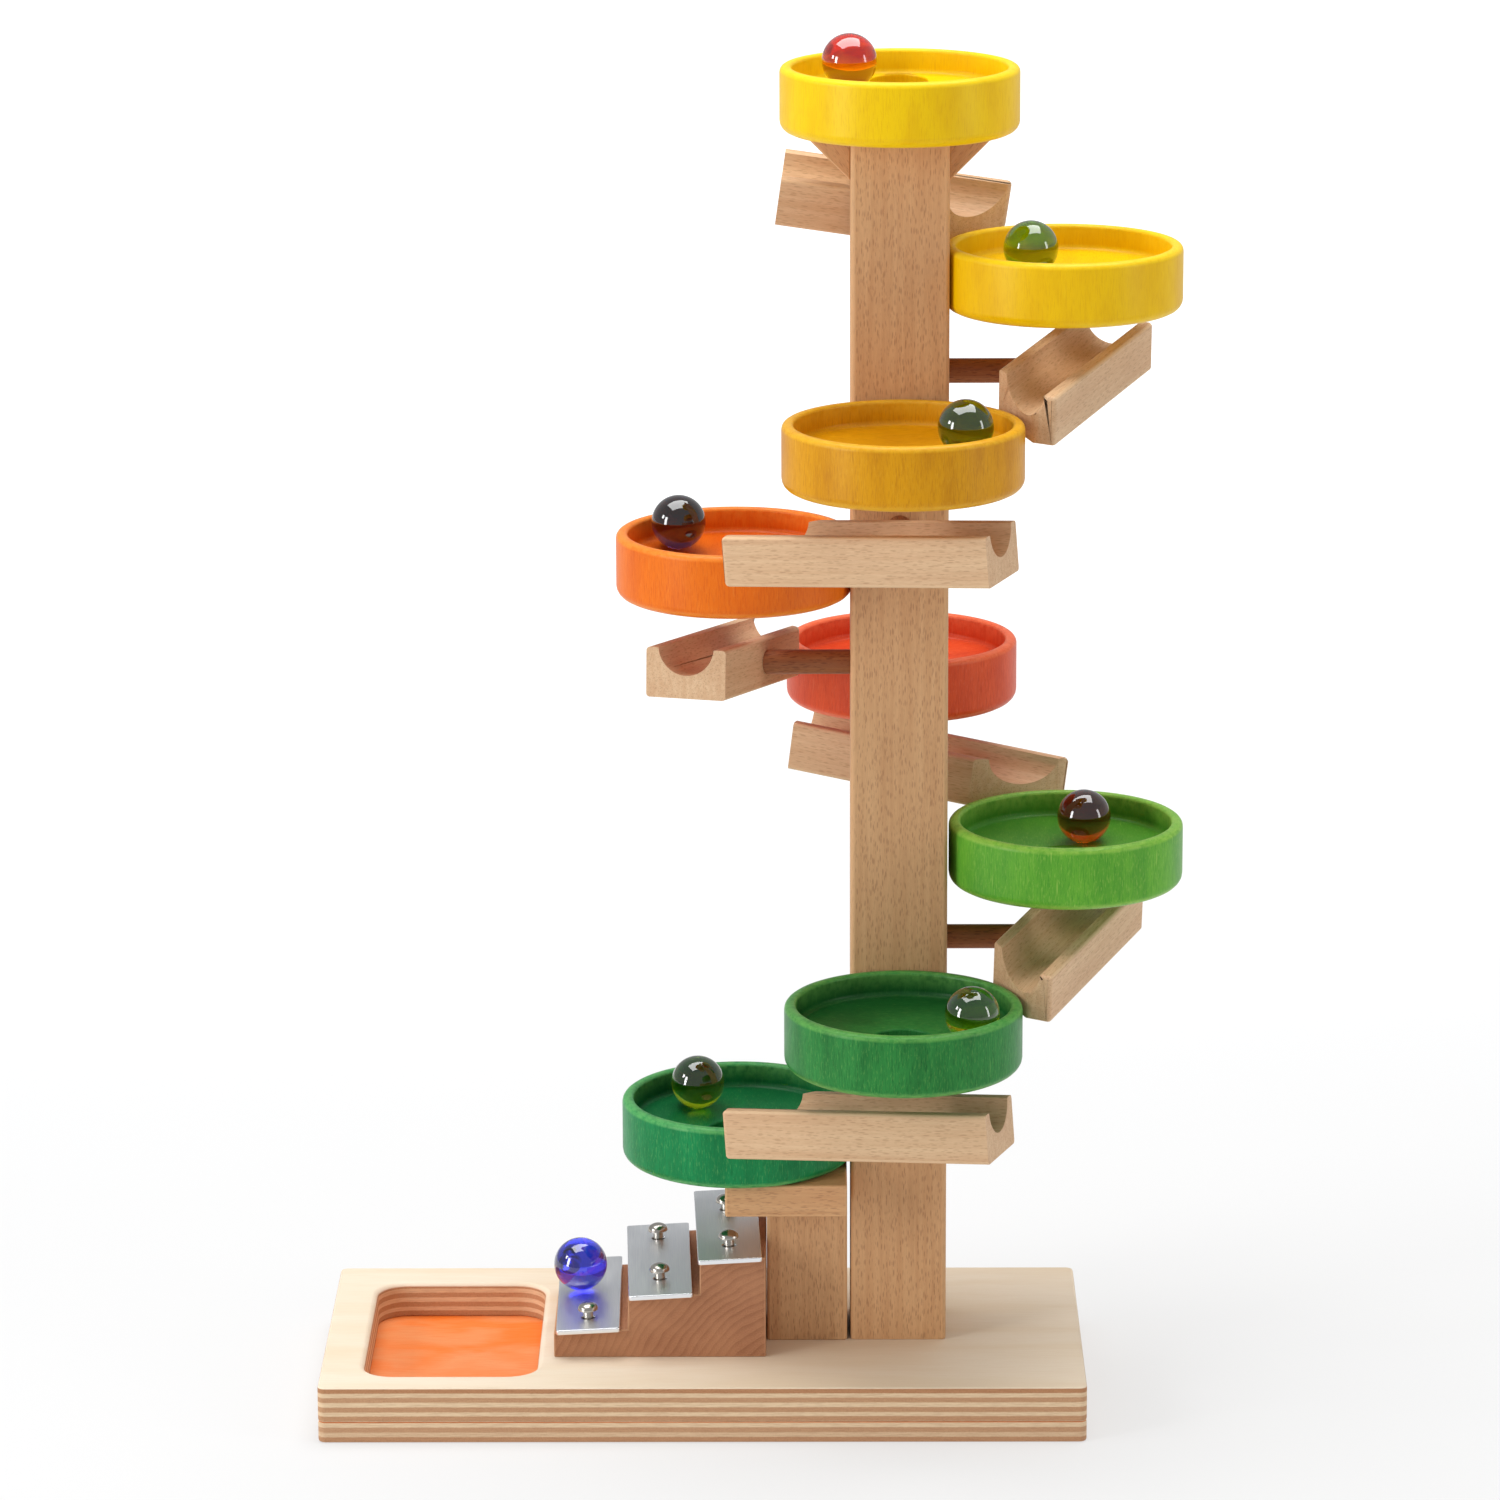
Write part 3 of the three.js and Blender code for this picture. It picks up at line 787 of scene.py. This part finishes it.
def makeBase():
    plateLow, plateHigh = boxOf("base_plate")
    boardLow, boardHigh = boxOf("base_board")
    plate = addRoundedBlock("basePlate", plateLow, (plateHigh.x, plateHigh.y, boardLow.z),
                            baseSet["corner"], 5)
    easeEdges(plate, baseSet["edge"], 2)
    layGrain(plate, (1, 0, 0), grainSeeds["base"])
    settlePiece(plate, "base_plate", "stand", trayFloor)

    board = addRoundedBlock("baseBoard", boardLow, boardHigh, baseSet["corner"], 5)
    x, y = baseSet["trayMiddle"]
    wide, deep = [size / 2 for size in baseSet["traySize"]]
    cutter = addRoundedBlock("trayCutter", (x - wide, y - deep, boardLow.z - baseSet["cutPast"]),
                             (x + wide, y + deep, boardHigh.z + baseSet["cutPast"]),
                             baseSet["trayCorner"], 10)
    cutAway(board, cutter)

    def onTrayEdge(p):
        return (abs(p.x - x) < wide + near and abs(p.y - y) < deep + near
                and p.z > boardHigh.z - 0.1 * near)

    roundEdges(board, baseSet["trayEdge"], 5, lambda a, b: onTrayEdge(a) and onTrayEdge(b))
    easeEdges(board, baseSet["edge"], 2, 60)
    layGrain(board, (1, 0, 0), grainSeeds["base"] + 1)
    settlePiece(board, "base_board", "stand", birchPly)


makeBase()
print("base done")


# posts, shelf block and braces

postSet = {"edge": 1.4, "shortEdge": 1.1, "endEdge": 0.35, "shelfEdge": 0.7, "braceTip": 0.8,
           "braceEdge": 0.5}


def makePost(name, node, low, high, edge, seed):
    post = addRoundedBlock(name, low, high, edge, 4)
    easeEdges(post, postSet["endEdge"], 2, 60)
    # the rounded corners count as rubbed too
    mark = post.data.attributes["rubbed"]
    for face in post.data.polygons:
        if max(abs(face.normal.x), abs(face.normal.y), abs(face.normal.z)) < 0.99:
            mark.data[face.index].value = 1.0
    layGrain(post, (0, 0, 1), seed)
    settlePiece(post, node, "stand", shadedPostBeech)


def makeStand():
    boardTop = boxOf("base_board")[1].z
    low, high = boxOf("main_post")
    topBowl = boxOf("bowl_1")[0].z
    makePost("mainPost", "main_post", (low.x, low.y, boardTop), (high.x, high.y, topBowl),
             postSet["edge"], grainSeeds["post"])
    shelfLow, shelfHigh = boxOf("support_block")
    low, high = boxOf("short_post")
    makePost("shortPost", "short_post", (low.x, low.y, boardTop), (high.x, high.y, shelfLow.z),
             postSet["shortEdge"], grainSeeds["post"] + 1)
    shelf = addBlock("supportBlock", shelfLow, (shelfHigh.x, shelfHigh.y, boxOf("bowl_8")[0].z))
    easeEdges(shelf, postSet["shelfEdge"], 3)
    layGrain(shelf, (1, 0, 0), grainSeeds["post"] + 2)
    settlePiece(shelf, "support_block", "stand", shadedPostBeech)

    postLow, postHigh = boxOf("main_post")
    for node, side in (("brace_left", -1), ("brace_right", 1)):
        low, high = boxOf(node)
        inner = postLow.x if side < 0 else postHigh.x
        outer = low.x if side < 0 else high.x
        brace = addBlock("wedge" + node[6:].capitalize(), (min(inner, outer), low.y, low.z),
                         (max(inner, outer), high.y, topBowl))
        tip = Vector((outer, 0, topBowl - postSet["braceTip"]))
        foot = Vector((inner, 0, low.z))
        run = tip - foot
        sliceOff(brace, foot, (side * abs(run.z), 0, -abs(run.x)))
        easeEdges(brace, postSet["braceEdge"], 2)
        layGrain(brace, (side * 0.6, 0, 0.8), grainSeeds["post"] + 3 + side)
        settlePiece(brace, node, "stand", shadedPostBeech)


makeStand()
print("posts and braces done")


# bowls

# the two amounts after footWear set the painted shade on the bowl's inner wall and floor
bowlSet = {"sides": 96, "wall": 3.5, "floorEdge": 7.1, "floorDrop": 3.7, "closedDrop": 1.6,
           "hole": 9.0, "holeEdge": 0.6, "rimOuter": 1.8, "rimInner": 1.1, "foot": 3.2,
           "cove": 1.6, "rimWear": 0.5, "footWear": 0.5, "wallShade": 1.0, "floorShade": 0.1,
           "topHole": 8.4, "topHoleBack": 21.5, "topHoleEdge": 0.5}


def atRing(p, radius, height):
    return max(abs(math.hypot(p.x, p.y) - radius), abs(p.z - height)) < 0.6 * near


def roundRing(bowl, radius, height, width, segments):
    roundEdges(bowl, width, segments,
               lambda a, b: atRing(a, radius, height) and atRing(b, radius, height))


# the bowl is turned about its own axis: rim up, foot at z 0
def turnBowl(name, radius, height, closed):
    inner = radius - bowlSet["wall"]
    floorZ = height - bowlSet["floorEdge"]
    bowl = addRod(name, radius, 0, height, bowlSet["sides"])
    pickFaces(bowl, lambda middle, normal: normal.z > 0.9)
    bpy.ops.mesh.inset(thickness=bowlSet["wall"])
    pull(z=-bowlSet["floorEdge"])
    bpy.ops.mesh.inset(thickness=inner - bowlSet["hole"])
    drop = bowlSet["closedDrop"] if closed else bowlSet["floorDrop"]
    bpy.ops.transform.translate(value=(0, 0, -drop))
    if not closed:
        bpy.ops.mesh.delete(type="FACE")
        pickFaces(bowl, lambda middle, normal: normal.z < -0.9)
        bpy.ops.mesh.inset(thickness=radius - bowlSet["hole"])
        bpy.ops.mesh.delete(type="FACE")
        bpy.ops.mesh.select_mode(type="EDGE")
        bpy.ops.mesh.select_all(action="DESELECT")
        bpy.ops.mesh.select_non_manifold()
        bpy.ops.mesh.bridge_edge_loops()
    closeMesh()
    roundRing(bowl, radius, height, bowlSet["rimOuter"], 4)
    roundRing(bowl, inner, height, bowlSet["rimInner"], 3)
    roundRing(bowl, radius, 0, bowlSet["foot"], 5)
    roundRing(bowl, inner, floorZ, bowlSet["cove"], 4)
    if not closed:
        roundRing(bowl, bowlSet["hole"], floorZ - drop, bowlSet["holeEdge"], 2)
        roundRing(bowl, bowlSet["hole"], 0, bowlSet["holeEdge"], 2)
    return bowl


# rim and foot are rubbed, and the inside is marked for painted shade; the wall's grain
# stands up and the floor's lies across
def finishBowl(bowl, radius, height, seed):
    shift = grainShift(seed)
    mesh = bowl.data
    inner = radius - bowlSet["wall"]
    worn, shadedInside = [], []
    for vertex in mesh.vertices:
        spread, z = math.hypot(vertex.co.x, vertex.co.y), vertex.co.z
        rim = z > height - 0.9 * bowlSet["rimOuter"] and spread > inner - near
        foot = z < 0.5 * bowlSet["foot"] and spread > radius - 0.9 * bowlSet["foot"]
        worn.append(bowlSet["rimWear"] if rim else bowlSet["footWear"] if foot else 0.0)
        # painted shade: the inner wall, and faintly the floor, are marked to be darkened
        inside = spread < inner + near and 1 < z < height - bowlSet["rimInner"]
        wall = spread > inner - bowlSet["cove"] - near
        shadeAmount = bowlSet["wallShade"] if wall else bowlSet["floorShade"]
        shadedInside.append(shadeAmount if inside else 0.0)
    for name, values in (("rubbed", worn), ("insideShade", shadedInside)):
        mesh.attributes.new(name, "FLOAT", "POINT").data.foreach_set("value", values)
    place = mesh.attributes.new("grainPlace", "FLOAT_VECTOR", "CORNER")
    for face in mesh.polygons:
        lying = abs(face.normal.z) > 0.7
        for corner in face.loop_indices:
            co = mesh.vertices[mesh.loops[corner].vertex_index].co
            spot = Vector((co.y, co.z, co.x)) if lying else co
            place.data[corner].vector = spot + shift


def atTopHole(p):
    across = math.hypot(p.x, p.y - bowlSet["topHoleBack"])
    return abs(across - bowlSet["topHole"]) < 0.5 * near


def makeBowls():
    turns = {"bowl_1": 0, "bowl_2": 1, "bowl_3": 0, "bowl_4": -1, "bowl_5": 2, "bowl_6": 1,
             "bowl_7": 0, "bowl_8": -1}
    postLow, postHigh = boxOf("main_post")
    postMiddle = (postLow + postHigh) / 2
    half = (postHigh.x - postLow.x) / 2
    for bowlNumber, (node, turn) in enumerate(turns.items(), 1):
        low, high = boxOf(node)
        height = high.z - low.z
        radius = (high.x - low.x if turn in (0, 2) else high.y - low.y) / 2
        closed = node == "bowl_1"
        # straight out from the post, the bowl's far side gives its middle
        out = {0: postMiddle.y - low.y, 1: high.x - postMiddle.x, 2: high.y - postMiddle.y,
               -1: postMiddle.x - low.x}[turn] - radius
        bowl = turnBowl("turnedBowl%d" % bowlNumber, radius, height, closed)
        if closed:
            drill = addRod("drill", bowlSet["topHole"], -5, 30, 48, (0, bowlSet["topHoleBack"]))
            cutAway(bowl, drill)
            roundEdges(bowl, bowlSet["topHoleEdge"], 2,
                       lambda a, b: atTopHole(a) and atTopHole(b) and abs(a.z - b.z) < 0.5)
        elif out - half < radius:
            sliceOff(bowl, (0, out - half, 0), (0, 1, 0))
        finishBowl(bowl, radius, height, grainSeeds["bowl"] + bowlNumber)
        angle = turn * math.pi / 2
        middle = postMiddle + Vector((math.sin(angle) * out, -math.cos(angle) * out, 0))
        # some bowls sit a little off the middle of their side
        if turn in (0, 2):
            middle.x = (low.x + high.x) / 2
        else:
            middle.y = (low.y + high.y) / 2
        place = (Matrix.Translation(Vector((middle.x, middle.y, low.z)) * mm)
                 @ Matrix.Rotation(angle, 4, "Z"))
        finish = makeStainFinish("stain" + node[-1], *stains[node])
        settlePiece(bowl, node, "stand", finish, place)


makeBowls()
print("bowls done")


# chutes and their dowels

chuteSet = {
    "width": 24.6, "height": 14.6, "groove": 8.6, "grooveDrop": 7.9, "lip": 1.1,
    "topEdge": 1.1, "lowEdge": 1.0, "nose": 3.2, "noseRound": 1.3, "ease": 0.35,
    # quarter turn, x, y, z of the high end, yaw, slope, roll, outer and inner length
    "runs": [
        (2, 33.4, -27.2, 364.9, 1.4, 8.1, -12.9, 67, 45),
        (1, 26.2, -62.9, 319.2, 23.8, 6, 3, 76.7, 58.2),
        (0, 27.6, -62.5, 275.9, 21.9, 4.5, 0.5, 80.6, 58),
        (-1, 26.2, -61.8, 232.5, 20.8, 6.2, 1.6, 77.5, 60),
        (2, 27.1, -60, 190.8, 18, 7, 2, 80, 57),
        (1, 26, -62.3, 148.7, 23.2, 5.8, 4, 76.6, 59),
        (0, 28, -61.3, 105.5, 19.4, 4.9, -1.6, 80.8, 59.2),
    ],
    "dowel": 3.6, "dowelDrop": 10.4, "dowelLength": 60, "dowelEdge": 0.15,
}


def makeChute(index, run, postMiddle, half):
    turn, x, y, z, yaw, slope, roll, outer, inner = run
    node = "chute_%d" % index
    wide = chuteSet["width"] / 2
    chute = addBlock("chute%d" % index, (-outer, -wide, -chuteSet["height"]), (0, wide, 0))

    def lengthwise(a, b):
        return abs(a.x - b.x) > inner / 2

    roundEdges(chute, chuteSet["topEdge"], 4, lambda a, b: lengthwise(a, b) and a.z > -near)
    roundEdges(chute, chuteSet["lowEdge"], 3,
               lambda a, b: lengthwise(a, b) and a.z < near - chuteSet["height"])
    gouge = addRod("gouge", chuteSet["groove"], -outer - 10, 10, 64)
    gouge.rotation_euler = (0, math.pi / 2, 0)
    gouge.location = (0, 0, chuteSet["groove"] - chuteSet["grooveDrop"])
    applyPlace(gouge)
    cutAway(chute, gouge)
    roundEdges(chute, chuteSet["lip"], 3, lambda a, b: lengthwise(a, b)
               and abs(a.z) < 0.1 * near and abs(a.y) < chuteSet["groove"])
    start = Vector((-inner, wide, 0))
    end = Vector((-outer, chuteSet["nose"] - wide, 0))
    mitre = end - start
    sliceOff(chute, start, (mitre.y, -mitre.x, 0))
    roundEdges(chute, chuteSet["noseRound"], 4, lambda a, b: max(a.x, b.x) < 0.2 * near - outer)
    place = (Matrix.Translation((x, y, z)) @ Matrix.Rotation(math.radians(-yaw), 4, "Z")
             @ Matrix.Rotation(math.radians(-slope), 4, "Y")
             @ Matrix.Rotation(math.radians(roll), 4, "X"))
    # the first chute has no dowel: its side is planed flat where it meets the post
    if index == 1:
        back = place.inverted()
        sliceOff(chute, back @ Vector((0, -half, z)), back.to_3x3() @ Vector((0, 1, 0)))
    tidyMesh(chute)
    easeEdges(chute, chuteSet["ease"], 2, 50)
    markRounds(chute, wide)
    layGrain(chute, (1, 0, 0), grainSeeds["chute"] + index)
    quarter = (Matrix.Translation((postMiddle.x, postMiddle.y, 0))
               @ Matrix.Rotation(turn * math.pi / 2, 4, "Z"))
    settlePiece(chute, node, "stand", beech, toMetres(quarter @ place))

    if index > 1:
        dowel = addRod("dowel%d" % index, chuteSet["dowel"], half, chuteSet["dowelLength"], 40)
        dowel.rotation_euler = (math.pi / 2, 0, 0)
        dowel.location = (0, 0, z - chuteSet["dowelDrop"])
        applyPlace(dowel)
        sliceOff(dowel, place @ Vector((0, wide, 0)), place.to_3x3() @ Vector((0, -1, 0)))
        easeEdges(dowel, chuteSet["dowelEdge"], 1, 60)
        layGrain(dowel, (0, 1, 0), grainSeeds["dowel"] + index)
        settlePiece(dowel, "dowel_%d" % index, "stand", darkDowel,
                    toMetres(quarter))


# the rounded long edges of a chute are sanded paler
def markRounds(chute, wide):
    mark = chute.data.attributes["rubbed"]
    for face in chute.data.polygons:
        tilted = 0.2 < abs(face.normal.z) < 0.98 and abs(face.normal.y) > 0.2
        if tilted and abs(face.center.y) > wide - 2:
            mark.data[face.index].value = 1.0


def makeChutes():
    postLow, postHigh = boxOf("main_post")
    for index, run in enumerate(chuteSet["runs"], 1):
        makeChute(index, run, (postLow + postHigh) / 2, (postHigh.x - postLow.x) / 2)


makeChutes()
print("chutes done")


# step block, sounding plates and pins

stepSet = {"tilt": 2.6, "ease": 0.4, "socket": 1.8, "socketDepth": 6.3,
           "treads": [(-44.2, -22.2, 25.1), (-22.2, -0.9, 36.1), (-0.9, 18.6, 47.7)],
           # middle and turn of each plate, places of its two pins along it
           "plates": [(-34.4, 2.2, 0.8, (-21.8, 18.5)), (-13.4, 1.5, 1.9, (-17.5, 19.5)),
                      (7.1, 0, 2, (-19.7, 13.7))],
           "plateWidth": 18.9, "plateLength": 65.0, "plateLow": 0.3, "plateThick": 1.5,
           "plateCorner": 0.8, "plateEdge": 0.25, "hole": 2.0,
           "head": 3.0, "headRise": 4.2, "dome": 2.3, "stem": 1.5, "sunk": 6.0,
           "collar": 0.35, "domeRings": 7, "domeSweep": 84, "headEdge": 0.12}


def treadPlace(tread, spot):
    left, right, height = tread
    x, y, turn, pins = spot
    rise = (x - (left + right) / 2) * math.tan(math.radians(stepSet["tilt"]))
    return (Matrix.Translation((x, y, height + rise))
            @ Matrix.Rotation(math.radians(-stepSet["tilt"]), 4, "Y")
            @ Matrix.Rotation(math.radians(turn), 4, "Z"))


def makeStepBlock():
    low, high = boxOf("step_block")
    boardTop = boxOf("base_board")[1].z
    first, second, third = stepSet["treads"]
    block = addBlock("stepBlock", (first[0], low.y, boardTop), (first[1], high.y, first[2]))
    for before, after in ((first, second), (second, third)):
        pickFaces(block, lambda middle, normal: normal.x > 0.9 and middle.x > before[1] - near)
        pull(x=after[1] - after[0])
        pickFaces(block, lambda middle, normal: normal.z > 0.9 and middle.x > after[0])
        pull(z=after[2] - before[2])
    closeMesh()
    # each tread leans a little to the left
    slope = math.tan(math.radians(stepSet["tilt"]))
    for left, right, height in stepSet["treads"]:
        for edge, way in ((left, -1), (right, 1)):
            pickEdges(block, lambda a, b: all(abs(p.x - edge) < near and abs(p.z - height) < near
                                              for p in (a, b)))
            bpy.ops.transform.translate(value=(0, 0, way * slope * (right - left) / 2))
    closeMesh()
    for tread, spot in zip(stepSet["treads"], stepSet["plates"]):
        for pinY in spot[3]:
            drill = addRod("drill", stepSet["socket"], -stepSet["socketDepth"], 4, 24, (0, pinY))
            drill.matrix_world = treadPlace(tread, spot)
            applyPlace(drill)
            cutAway(block, drill)
    tidyMesh(block)
    easeEdges(block, stepSet["ease"], 2, 50)
    layGrain(block, (0, 1, 0), grainSeeds["steps"])
    settlePiece(block, "step_block", "stand", endGrain)


def makePlate(index, tread, spot):
    long, wide = stepSet["plateLength"] / 2, stepSet["plateWidth"] / 2
    low = stepSet["plateLow"]
    plate = addRoundedBlock("soundPlate%d" % index, (-wide, -long, low),
                            (wide, long, low + stepSet["plateThick"]), stepSet["plateCorner"], 3)
    for pinY in spot[3]:
        cutAway(plate, addRod("drill", stepSet["hole"], -4, 6, 32, (0, pinY)))
    easeEdges(plate, stepSet["plateEdge"], 2, 50)
    layGrain(plate, (0, 1, 0), grainSeeds["plate"] + index)
    settlePiece(plate, "sound_plate_%d" % index, "plate_%d" % index, plateMetal,
                toMetres(treadPlace(tread, spot)))


# a round-headed pin: stem, flat underside, short collar and dome
def makePin(index, tread, spot, pinY):
    pin = addRod("platePin%d" % index, stepSet["stem"], -stepSet["sunk"], stepSet["headRise"], 32)
    pickFaces(pin, lambda middle, normal: normal.z > 0.9)
    pull()
    wider = stepSet["head"] / stepSet["stem"]
    bpy.ops.transform.resize(value=(wider, wider, 1))
    pull(z=stepSet["collar"])
    radius, height = stepSet["head"], 0.0
    for ring in range(1, stepSet["domeRings"] + 1):
        angle = ring / stepSet["domeRings"] * math.radians(stepSet["domeSweep"])
        newRadius = stepSet["head"] * math.cos(angle)
        newHeight = (stepSet["dome"] - stepSet["collar"]) * math.sin(angle)
        pull(z=newHeight - height)
        bpy.ops.transform.resize(value=(newRadius / radius, newRadius / radius, 1))
        radius, height = newRadius, newHeight
    closeMesh()
    easeEdges(pin, stepSet["headEdge"], 2, 60)
    layGrain(pin, (0, 0, 1), grainSeeds["pin"] + index)
    place = treadPlace(tread, spot) @ Matrix.Translation((0, pinY, 0))
    settlePiece(pin, "plate_pin_%d" % index, "stand", pinMetal, toMetres(place))


makeStepBlock()
for index, (tread, spot) in enumerate(zip(stepSet["treads"], stepSet["plates"]), 1):
    makePlate(index, tread, spot)
    makePin(2 * index - 1, tread, spot, spot[3][0])
    makePin(2 * index, tread, spot, spot[3][1])
print("steps, plates and pins done")


# marbles

marbleSet = {
    "cuts": 23,
    # top colour (painted darker), bottom colour (painted glow), veil colour, how strong the veil
    # is
    "glass": {
        "marble_1": (srgb(176, 10, 8), srgb(244, 132, 14), srgb(230, 120, 60), 0.15),
        "marble_2": (srgb(62, 138, 6), srgb(150, 186, 14), srgb(170, 200, 60), 0.2),
        "marble_3": (srgb(40, 104, 14), srgb(96, 140, 18), srgb(120, 160, 60), 0.15),
        "marble_4": (srgb(20, 22, 60), srgb(84, 54, 90), srgb(110, 110, 190), 0.15),
        "marble_5": (srgb(104, 8, 8), srgb(226, 84, 8), srgb(220, 110, 50), 0.15),
        "marble_6": (srgb(108, 156, 10), srgb(196, 214, 24), srgb(210, 224, 90), 0.2),
        "marble_7": (srgb(96, 130, 20), srgb(200, 220, 20), srgb(200, 214, 110), 0.2),
        "marble_8": (srgb(44, 54, 232), srgb(62, 64, 240), srgb(220, 80, 190), 0.5),
    },
}


def makeMarbles():
    for node, (top, glowingBottom, swirl, veil) in marbleSet["glass"].items():
        low, high = boxOf(node)
        radius = (high.z - low.z) / 2
        ball = addBlock("glassMarble" + node[-1], (-radius,) * 3, (radius,) * 3)
        openMesh(ball, "FACE")
        bpy.ops.mesh.select_all(action="SELECT")
        bpy.ops.mesh.subdivide(number_cuts=marbleSet["cuts"])
        bpy.ops.transform.tosphere(value=1)
        closeMesh()
        size = max(vertex.co.length for vertex in ball.data.vertices)
        ball.scale = (radius / size,) * 3
        applyPlace(ball)
        finish = makeGlassFinish("glass" + node[-1], node, top, glowingBottom, swirl, veil)
        settlePiece(ball, node, "loose_" + node, finish,
                    Matrix.Translation((low + high) / 2 * mm))


makeMarbles()
print("marbles done")
